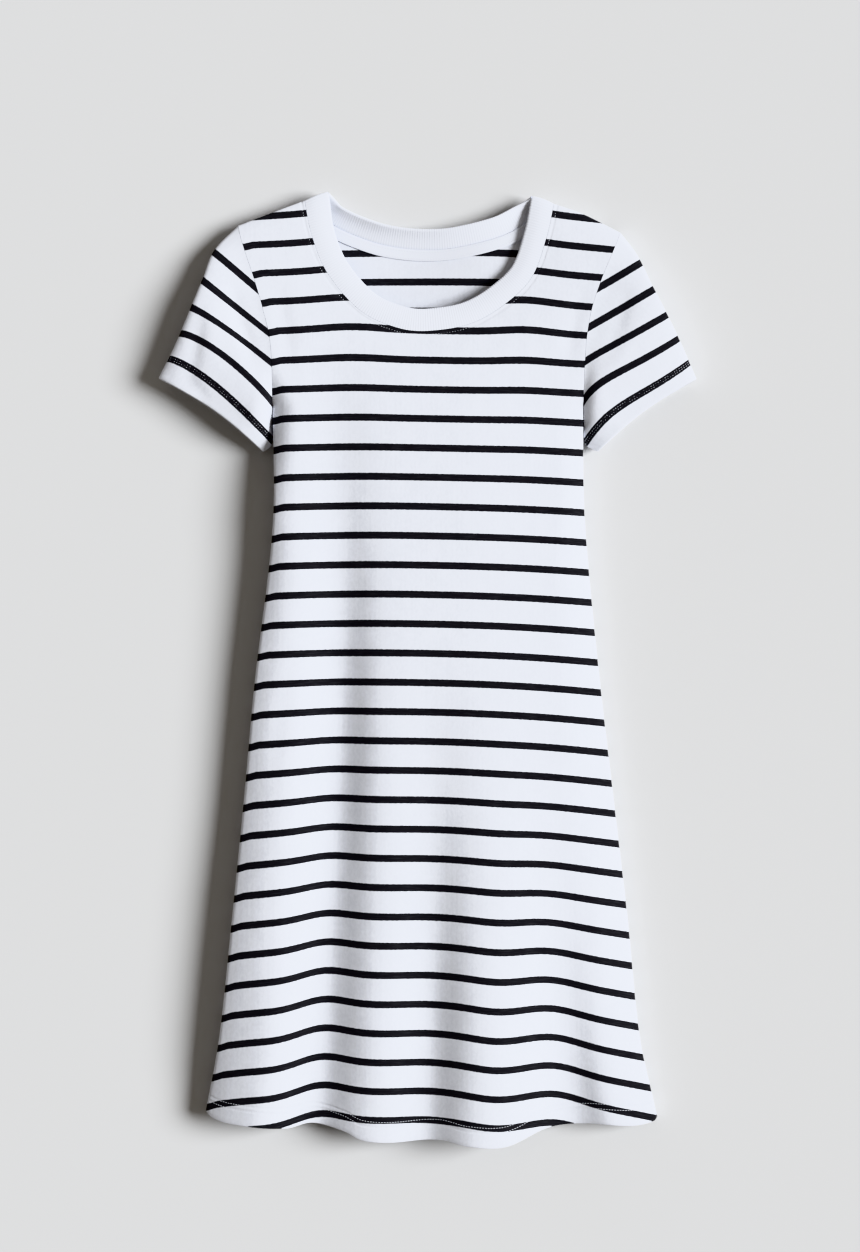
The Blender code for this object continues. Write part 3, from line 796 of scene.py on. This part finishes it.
def threadFinish():
    desk = Desk("sewingThread")
    coords = desk.add("ShaderNodeTexCoord")
    fibre = desk.noise(coords.outputs["Object"], 2600.0)
    return desk.finish({
        "Base Color": desk.blend(fibre, (0.62, 0.64, 0.69, 1.0), (0.80, 0.82, 0.88, 1.0)),
        "Roughness": desk.ramp(fibre, 0.2, 0.8, 0.55, 0.75),
        "Specular IOR Level": 0.35,
    })


# Panels

class Panel:
    def __init__(self, panel):
        self.panel = panel
        sides = [sidePlan(side, panel) for side in ("left", "right")]
        self.plan = panelPlan(hemPlan(panel), topPlan(panel), *sides)
        self.outer = raised(panel, self.plan)
        self.normals = gridNormals(self.outer, False)
        if panel == "back":
            self.normals = -self.normals
        sideRows = body["sideRows"][panel]
        for column, outward in ((0, (-1, 0, 0)), (-1, (1, 0, 0))):
            line = self.outer[:, column]
            along = np.concatenate((line[1:2] - line[:1], line[2:] - line[:-2]))
            self.normals[:sideRows + 1, column] = levelNormals(along[:sideRows + 1], outward)
        top = self.outer[-1]
        count = body["shoulderColumns"] + 1
        self.normals[-1, :count] = levelNormals(top[1:count + 1] - top[:count], (0, 1, 0))
        self.normals[-1, -count:] = levelNormals(top[-count:] - top[-count - 1:-1], (0, 1, 0))

    def armhole(self, side):  # grid places from the shoulder tip to the underarm
        column = 0 if side == "left" else self.outer.shape[1] - 1
        last = len(self.outer) - 1
        return last - np.arange(body["armholeRows"] + 1), np.full(body["armholeRows"] + 1, column)

    def neckline(self):
        count = body["neckColumns"][self.panel] + 1
        return np.full(count, len(self.outer) - 1), body["shoulderColumns"] + np.arange(count)

    def build(self, material):
        x, y = self.plan[..., 0], self.plan[..., 1]
        knit = np.stack((x, knitPlace(self.panel, x, y)), axis=-1)
        neck = neckPlan(self.panel)
        fromNeck = np.full(x.shape, 1.0)
        for place in neck:
            fromNeck = np.minimum(fromNeck, np.hypot(x - place[0], y - place[1]))
        fromHem = y - body["hem"][self.panel].read("y", x)
        edges = np.stack((fromNeck, fromHem), axis=-1)
        piece = makeShell(self.panel + "Panel", self.outer, self.normals, body["wall"],
                          {"knit": knit, "edges": edges}, flip=self.panel == "back", folds=(True, False))
        piece.data.materials.append(material)
        return piece


def armholeRing(front, back, side):
    fore, rear = front.armhole(side), back.armhole(side)
    ring = np.concatenate((front.outer[fore], back.outer[rear][-2:0:-1]))
    tip, under = ring[0], ring[body["armholeRows"]]
    level = np.array([(*(tip - under)[:2], 0.0)])
    axis = levelNormals(level, (-1, 0, 0) if side == "left" else (1, 0, 0))[0]
    normals = unit(np.cross(np.roll(ring, -1, axis=0) - np.roll(ring, 1, axis=0), axis))
    away = ring - (tip + under) / 2
    away = away - axis * (away @ axis)[:, None]
    normals *= np.sign(np.sum(normals * away, axis=1))[:, None]
    count = len(ring)
    front.normals[fore] = normals[:body["armholeRows"] + 1]
    back.normals[rear] = normals[-np.arange(body["armholeRows"] + 1) % count]
    return ring, normals, axis


def sleevePlan(ring, side, along):
    sizes = sleeves[side]
    armhole = ring[:body["armholeRows"] + 1, :2]
    lengths = lengthsAlong(armhole)
    across = lengths / lengths[-1]
    fold = trace(sizes["fold"], [along])[0]
    outerCorner = np.array(sizes["fold"][-1])
    edge = np.array(sizes["cuffCorner"]) - outerCorner
    bow = unit(np.array((-edge[1], edge[0])))
    bow = bow if bow[1] > 0.0 else -bow
    bendFold = fold - mix(armhole[0], outerCorner, along)
    bendUnder = np.array((sizes["underReach"] * float(sleeves["underShape"].read("share", along)), 0.0))
    share = across[:, None]
    cuff = outerCorner + edge * share + bow * (sleeves["cuffBow"] * np.sin(np.pi * share))
    return across, mix(armhole, cuff, along) + mix(bendFold, bendUnder, share)


def sleeveSection(ring, side, along):
    across, plan = sleevePlan(ring, side, along)
    width = np.linalg.norm(plan[0] - plan[-1])
    read = sleeves[side]["sections"].read
    edge = mix(read("fold", along), read("under", along), across)
    inward = np.minimum(across, 1.0 - across) * width
    rest = 1.0 - np.clip(inward / sleeves["round"], 0.0, 1.0)
    turn = mix(rise(inward, sleeves["round"]), 1.0 - rest ** 2, softStep(across))  # gentler by the body
    over = mix(edge, read("crown", along), turn)
    below = edge * (1.0 - rise(inward, sleeves["under"]))
    own = softStep(along / sleeves["blend"])
    count = len(across)
    over = mix(ring[:count, 2], over, own) - creased(plan[:, 0], plan[:, 1], creases[side]) * turn
    below = mix(ring[-np.arange(count) % len(ring), 2], below, own)
    front = np.column_stack((plan, over))
    back = np.column_stack((plan, below))[-2:0:-1]
    return np.concatenate((front, back)), across


def sleeveKnit(side, points, across):  # repeats of the stripe above the cuff
    lines = sleeves[side]["stripes"].values
    x, y = points[..., 0], points[..., 1]
    count = len(lines["count"])
    bow = np.sin(np.pi * across ** sleeves[side]["bowLean"])
    slopes = (lines["seamY"] - lines["foldY"]) / (lines["seamX"] - lines["foldX"])
    levels = [lines["foldY"][at] + (x - lines["foldX"][at]) * slopes[at] + lines["bow"][at] * bow
              for at in range(count)]
    place = (y - levels[0]) / (levels[1] - levels[0])
    for at in range(1, count - 1):
        place = np.where(y > levels[at], at + (y - levels[at]) / (levels[at + 1] - levels[at]), place)
    return np.minimum(place, sleeves["topStripe"])


class Sleeve:
    def __init__(self, side, ring, normals, axis):
        self.side = side
        sections = []
        for along in np.linspace(0.0, 1.0, sleeves["rings"] + 1):
            section, share = sleeveSection(ring, side, along)
            sections.append(section + axis * (sleeves["setInGap"] * (1.0 - along)))
        self.outer = np.array(sections)
        self.across = np.concatenate((share, share[-2:0:-1]))
        own = gridNormals(self.outer, True)
        self.normals = -own if side == "left" else own
        self.normals[0] = normals

    def build(self, material):
        closed = np.concatenate((self.outer, self.outer[:, :1]), axis=1)
        shares = np.concatenate((self.across, self.across[:1]))
        steps = np.linalg.norm(np.diff(closed, axis=1), axis=-1)
        around = np.concatenate((np.zeros((len(closed), 1)), np.cumsum(steps, axis=1)), axis=1)
        turn = np.round(around[-1, -1] / jersey["walePitch"]) * jersey["walePitch"]
        u = around / around[:, -1:] * turn
        v = sleeveKnit(self.side, closed, shares)
        self.knit = v[:, :-1]
        maps = {
            "knit": np.stack((u, v), axis=-1),
            "edges": np.stack((u, v * sleeves["stripeRepeat"]), axis=-1),
        }
        piece = makeShell("sleeve" + self.side.capitalize(), self.outer, self.normals, body["wall"], maps,
                          ring=True, flip=self.side == "left", folds=(False, True))
        piece.data.materials.append(material)
        return piece


def bandLine(panel):
    seam = neckPlan(panel)
    reach = band["height"] if panel == "front" else band["backPlan"]
    lengths = lengthsAlong(seam)
    along = np.concatenate((seam[1:2] - seam[:1], seam[2:] - seam[:-2], seam[-1:] - seam[-2:-1]))
    square = unit(np.stack((-along[:, 1], along[:, 0]), axis=1))
    nearLeft = (lengths < lengths[-1] / 2)[:, None]
    tips = [np.array(tip) for tip in band["tips"]]
    lean = np.where(nearLeft, tips[0] - seam[0], tips[1] - seam[-1])
    away = np.minimum(lengths, lengths[-1] - lengths)
    line = seam + mix(lean, square * reach, softStep(away / band["turn"])[:, None])
    line[0], line[-1] = tips
    return line


def neckRings(front, back):
    fore, rear = front.neckline(), back.neckline()
    seam = np.concatenate((front.outer[fore], back.outer[rear][-2:0:-1]))
    free = raised("front", bandLine("front"))
    behind = raised("back", bandLine("back"))
    count = len(behind) - 1
    arch = np.maximum(np.sin(np.pi * np.arange(count + 1) / count), 0.0) ** band["liftPower"]
    behind[:, 2] += band["backLift"] * arch
    free[[0, -1], 2] = edgeHeight(free[[0, -1], 0], free[[0, -1], 1])
    free = np.concatenate((free, behind[-2:0:-1]))
    normals = unit(np.cross(np.roll(seam, -1, axis=0) - np.roll(seam, 1, axis=0), free - seam))
    front.normals[fore] = normals[:len(fore[0])]
    back.normals[rear] = normals[-np.arange(len(rear[0])) % len(normals)]
    return seam, free, normals


def buildBand(seam, free, normals, material):
    share = np.linspace(0.0, 1.0, band["rows"] + 1)[:, None, None]
    gap = unit(free - seam) * sleeves["setInGap"]
    outer = mix(seam, free, share) + gap * (1.0 - share) + normals * (band["bulge"] * np.sin(np.pi * share))
    own = gridNormals(outer, True)
    own[0] = normals
    walls = np.full((band["rows"] + 1, 1, 1), band["wall"])
    walls[0] = body["wall"]
    closed = np.concatenate((outer, outer[:, :1]), axis=1)
    around = lengthsAlong(closed[0])
    ribs = around / around[-1] * round(around[-1] / band["ribPitch"])
    height = np.broadcast_to(share[..., 0] * band["height"], (len(outer), len(ribs)))
    knit = np.stack((np.broadcast_to(ribs, height.shape), height), axis=-1)
    piece = makeShell("neckbandRib", outer, own, walls, {"knit": knit}, ring=True, folds=(False, True))
    piece.data.materials.append(material)
    return piece, outer


def tapeGrid(lift):
    seam = neckPlan("back")
    keep = trace(seam, np.linspace(0.0, 1.0, tape["points"]))
    along = keep[2:] - keep[:-2]
    square = unit(np.stack((along[:, 1], -along[:, 0]), axis=1))
    start = int(len(square) * tape["skip"])
    keep, square = keep[1:-1][start:-start], square[start:-start]
    inset = tape["inset"] + tape["width"] * np.arange(tape["rows"] + 1) / tape["rows"]
    point, inward = facing("back", keep[None] + square[None] * inset[:, None, None])
    return point + inward * lift, inward


def buildTape(material):
    upper, inward = tapeGrid(body["wall"] + tape["clear"] + tape["wall"])
    x = upper[..., 0]
    down = np.broadcast_to((tape["width"] * np.arange(tape["rows"] + 1) / tape["rows"])[:, None], x.shape)
    piece = makeShell("neckTapeTwill", upper, inward, tape["wall"], {"knit": np.stack((x, down), axis=-1)},
                      flip=True, folds=(True, True))
    piece.data.materials.append(material)
    return piece, upper


# Stitching

stitch = {
    "pitch": 0.0019,
    "length": 0.0015,
    "width": 0.00042,
    "height": 0.00034,
    "sink": 0.00004,
    "hemRows": (0.0102, 0.0136),
    "cuffRows": (-0.0008, 0.0008),  # either side of the middle of the lowest stripe
    "neckRow": 0.0024,
    "neckSink": 0.00013,
    "cuffSink": 0.000145,
    "groove": 0.0016,
    "cuffGroove": 0.0007,
    "hemPoints": 400,
    "hemInset": 0.004,
    "neckPoints": 300,
    "neckSkip": 6,
    "tapeSkip": 2,
    "segments": 6,
    "rings": 5,
    "least": (0.90, 0.85, 0.85),  # share of the size that each stitch takes at random
    "most": (1.06, 1.10, 1.10),
    "seed": 7,
}


def stitchTree():
    tree = bpy.data.node_groups.new("stitchesAlongSeam", "GeometryNodeTree")
    face = tree.interface
    face.new_socket("Geometry", in_out="INPUT", socket_type="NodeSocketGeometry")
    for name in ("Pitch", "Length", "Width", "Height"):
        face.new_socket(name, in_out="INPUT", socket_type="NodeSocketFloat")
    face.new_socket("Thread", in_out="INPUT", socket_type="NodeSocketMaterial")
    face.new_socket("Geometry", in_out="OUTPUT", socket_type="NodeSocketGeometry")

    def add(kind, settings=None, inputs=None):
        return addNode(tree, kind, settings, inputs)

    given = add("NodeGroupInput").outputs
    curve = add("GeometryNodeMeshToCurve", None, {"Mesh": given["Geometry"]})
    evenly = add("GeometryNodeResampleCurve", {"mode": "LENGTH"},
                 {"Curve": curve.outputs["Curve"], "Length": given["Pitch"]})
    drop = add("GeometryNodeMeshUVSphere", None,
               {"Segments": stitch["segments"], "Rings": stitch["rings"], "Radius": 0.5})
    size = add("ShaderNodeCombineXYZ", None,
               {"X": given["Length"], "Y": given["Width"], "Z": given["Height"]})
    thread = add("GeometryNodeTransform", None,
                 {"Geometry": drop.outputs["Mesh"], "Scale": size.outputs["Vector"]})
    along = add("GeometryNodeInputTangent")
    turn = add("FunctionNodeAlignRotationToVector", {"axis": "X"}, {"Vector": along.outputs["Tangent"]})
    wobble = add("FunctionNodeRandomValue", {"data_type": "FLOAT_VECTOR"},
                 {"Min": stitch["least"], "Max": stitch["most"], "Seed": stitch["seed"]})
    placed = add("GeometryNodeInstanceOnPoints", None, {
        "Points": evenly.outputs["Curve"],
        "Instance": thread.outputs["Geometry"],
        "Rotation": turn.outputs["Rotation"],
        "Scale": wobble.outputs["Value"],
    })
    solid = add("GeometryNodeRealizeInstances", None, {"Geometry": placed.outputs["Instances"]})
    smooth = add("GeometryNodeSetShadeSmooth", None, {"Geometry": solid.outputs["Geometry"]})
    finished = add("GeometryNodeSetMaterial", None,
                   {"Geometry": smooth.outputs["Geometry"], "Material": given["Thread"]})
    add("NodeGroupOutput", None, {"Geometry": finished.outputs["Geometry"]})
    return tree


def makeStitches(name, lines, tree, material):
    verts, edges = [], []
    for line in lines:
        first = len(verts)
        verts += line.tolist()
        edges += [(first + step, first + step + 1) for step in range(len(line) - 1)]
    guide = bpy.data.meshes.new(name + "Guide")
    guide.from_pydata(verts, edges, [])
    holder = putIn(name + "Guide", guide)
    live = holder.modifiers.new("stitches", "NODES")
    live.node_group = tree
    values = {"Pitch": stitch["pitch"], "Length": stitch["length"], "Width": stitch["width"],
              "Height": stitch["height"], "Thread": material}
    for item in tree.interface.items_tree:
        if item.in_out == "INPUT" and item.name in values:
            live[item.identifier] = values[item.name]
    graph = bpy.context.evaluated_depsgraph_get()
    mesh = bpy.data.meshes.new_from_object(holder.evaluated_get(graph))
    mesh.name = name
    bpy.data.objects.remove(holder, do_unlink=True)
    return putIn(name, mesh)


def sunkInto(panel, plan, depth):  # places just under a panel's outer face
    point, up = facing(panel, plan)
    return point - up * (depth if panel == "front" else -depth)


def hemLine(panel, above):
    hem = body["hem"][panel]
    start, end = hem.values["x"][0] + stitch["hemInset"], hem.values["x"][-1] - stitch["hemInset"]
    x = np.linspace(start, end, stitch["hemPoints"])
    return sunkInto(panel, np.stack((x, hem.read("y", x) + above), axis=1), stitch["sink"])


def neckLine(panel, away):
    seam = trace(body["neckSeam"][panel], np.linspace(0.0, 1.0, stitch["neckPoints"]))
    along = seam[2:] - seam[:-2]
    square = unit(np.stack((along[:, 1], -along[:, 0]), axis=1))
    plan = seam[1:-1] + square * away
    return sunkInto(panel, plan[stitch["neckSkip"]:-stitch["neckSkip"]], stitch["neckSink"])


def cuffLine(sleeve, above):  # where each column of the sleeve meets one level of the knit
    level = above / sleeves["stripeRepeat"]
    steps = np.arange(len(sleeve.outer))
    sunk = sleeve.outer - sleeve.normals * stitch["cuffSink"]
    ring = []
    for column in range(sunk.shape[1]):
        at = np.interp(-level, -sleeve.knit[:, column], steps)
        ring.append([np.interp(at, steps, sunk[:, column, axis]) for axis in range(3)])
    return np.array(ring + ring[:1])


# Build

front = Panel("front")
back = Panel("back")
rings = {side: armholeRing(front, back, side) for side in ("left", "right")}
seam, free, neckNormals = neckRings(front, back)
print("panels laid out")

panelRows = (stripes["repeat"], stitch["hemRows"], stitch["groove"], stitch["neckRow"])
frontPiece = front.build(jerseyCloth("jerseyFront", *panelRows))
backPiece = back.build(jerseyCloth("jerseyBack", *panelRows))
print("panels sewn:", len(frontPiece.data.polygons), "and", len(backPiece.data.polygons), "faces")

sleevePieces = {}
sleeveForms = {}
for side, (ring, ringNormals, axis) in rings.items():
    sleeveForms[side] = Sleeve(side, ring, ringNormals, axis)
    cloth = jerseyCloth("jerseySleeve" + side.capitalize(), sleeves["stripeRepeat"], stitch["cuffRows"],
                        stitch["cuffGroove"])
    sleevePieces[side] = sleeveForms[side].build(cloth)
print("sleeves set in")

bandPiece, bandOuter = buildBand(seam, free, neckNormals, ribCloth())
tapePiece, tapeUpper = buildTape(tapeCloth())
print("neck finished")

threads = threadFinish()
tree = stitchTree()
hemLines = {panel: [hemLine(panel, row) for row in stitch["hemRows"]] for panel in ("front", "back")}
frontLines = hemLines["front"] + [neckLine("front", stitch["neckRow"])]
frontThread = makeStitches("frontStitching", frontLines, tree, threads)
backThread = makeStitches("backStitching", hemLines["back"], tree, threads)
sleeveThread = {}
for side, form in sleeveForms.items():
    sleeveThread[side] = makeStitches("cuffStitching" + side.capitalize(),
                                      [cuffLine(form, row) for row in stitch["cuffRows"]], tree, threads)
tapeLines = [tapeUpper[row, stitch["tapeSkip"]:-stitch["tapeSkip"]] for row in (1, -2)]
tapeThread = makeStitches("tapeStitching", tapeLines, tree, threads)
print("stitching done")

pairs = (
    (frontPiece, "front"), (backPiece, "back"), (sleevePieces["left"], "sleeve_left"),
    (sleevePieces["right"], "sleeve_right"), (bandPiece, "neckband"), (tapePiece, "neck_tape"),
)
for piece, node in pairs:
    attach(piece, "root")
    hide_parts(node)
trims = (
    (frontThread, "front"), (backThread, "back"), (sleeveThread["left"], "sleeve_left"),
    (sleeveThread["right"], "sleeve_right"), (tapeThread, "neck_tape"),
)
for piece, node in trims:
    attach(piece, "root")


# Floor, light and camera

ground = {"reach": 9.0, "dark": (0.582, 0.582, 0.582, 1.0), "pale": (0.587, 0.587, 0.587, 1.0)}


def addFloor():
    desk = Desk("paleFloor")
    coords = desk.add("ShaderNodeTexCoord")
    grain = desk.noise(coords.outputs["Object"], 3.0)
    finish = desk.finish({
        "Base Color": desk.blend(grain, ground["dark"], ground["pale"]),
        "Roughness": desk.ramp(grain, 0.2, 0.8, 0.90, 0.95),
        "Specular IOR Level": 0.1,
    })
    mesh = bpy.data.meshes.new("floor")
    reach = ground["reach"]
    corners = [(-reach, -reach, 0), (reach, -reach, 0), (reach, reach, 0), (-reach, reach, 0)]
    mesh.from_pydata(corners, [], [(0, 1, 2, 3)])
    mesh.materials.append(finish)
    putIn("floor", mesh)


light = {
    "elevation": 35.0,
    "azimuth": 4.0,
    "spread": 30.0,
    "key": 6.10,
    "keyColour": (0.978, 1.0, 1.028),
    "fill": 0.22,
    "fillColour": (1.08, 1.0, 0.90),
    "backdrop": (0.78, 0.78, 0.78, 1.0),
}


def addLight():
    lamp = bpy.data.lights.new("keyLight", "SUN")
    lamp.energy = light["key"]
    lamp.color = light["keyColour"]
    lamp.angle = math.radians(light["spread"])
    key = putIn("keyLight", lamp)
    height = math.radians(light["elevation"])
    side = math.radians(light["azimuth"])
    level = math.cos(height)
    toward = Vector((level * math.cos(side), level * math.sin(side), math.sin(height)))
    key.rotation_euler = toward.to_track_quat("Z", "Y").to_euler()
    key.location = toward * 3.0
    world = bpy.data.worlds.new("studio")
    bpy.context.scene.world = world
    world.use_nodes = True
    nodes, links = world.node_tree.nodes, world.node_tree.links
    fill = nodes["Background"]
    fill.inputs["Color"].default_value = (*light["fillColour"], 1.0)
    fill.inputs["Strength"].default_value = light["fill"]
    seen = nodes.new("ShaderNodeBackground")
    seen.inputs["Color"].default_value = light["backdrop"]
    path = nodes.new("ShaderNodeLightPath")
    choose = nodes.new("ShaderNodeMixShader")
    links.new(path.outputs["Is Camera Ray"], choose.inputs["Fac"])
    links.new(fill.outputs["Background"], choose.inputs[1])
    links.new(seen.outputs["Background"], choose.inputs[2])
    links.new(choose.outputs["Shader"], nodes["World Output"].inputs["Surface"])


view = {"height": 3.0, "centre": (0.0017, 0.0291), "lens": 125.0, "sensor": 36.0, "clip": (0.1, 40.0)}


def addCamera():
    lens = bpy.data.cameras.new("camera")
    lens.lens = view["lens"]
    lens.sensor_width = view["sensor"]
    lens.clip_start, lens.clip_end = view["clip"]
    camera = putIn("camera", lens)
    camera.location = (*view["centre"], view["height"])
    bpy.context.scene.camera = camera


addFloor()
addLight()
addCamera()
bpy.context.scene.view_settings.view_transform = "Khronos PBR Neutral"
bpy.context.scene.view_settings.look = "None"


def flatSize(grid, ring=False):
    across = max(lengthOf(row) for row in (grid[0], grid[len(grid) // 3], grid[len(grid) * 2 // 3]))
    if ring:
        across = max(lengthOf(np.concatenate((row, row[:1]))) for row in grid)
    middle = grid.shape[1] // 2
    length = max(lengthOf(grid[:, column]) for column in (0, middle // 2, middle, grid.shape[1] - 1))
    return (across, length), min(areaOf(grid, ring), across * length)


sheets = (
    (frontPiece, front.outer, False, [frontThread], ["backPanel"]),
    (backPiece, back.outer, False, [backThread, tapePiece, tapeThread], ["floor"]),
    (sleevePieces["left"], sleeveForms["left"].outer, True, [sleeveThread["left"]], ["floor"]),
    (sleevePieces["right"], sleeveForms["right"].outer, True, [sleeveThread["right"]], ["floor"]),
    (bandPiece, bandOuter, True, [], ["frontPanel", "backPanel"]),
)
for piece, grid, ring, sewnOn, under in sheets:
    flat, area = flatSize(grid, ring)
    print(piece.name, "flat", [round(side, 4) for side in flat], "area", round(area, 5))

print("done")
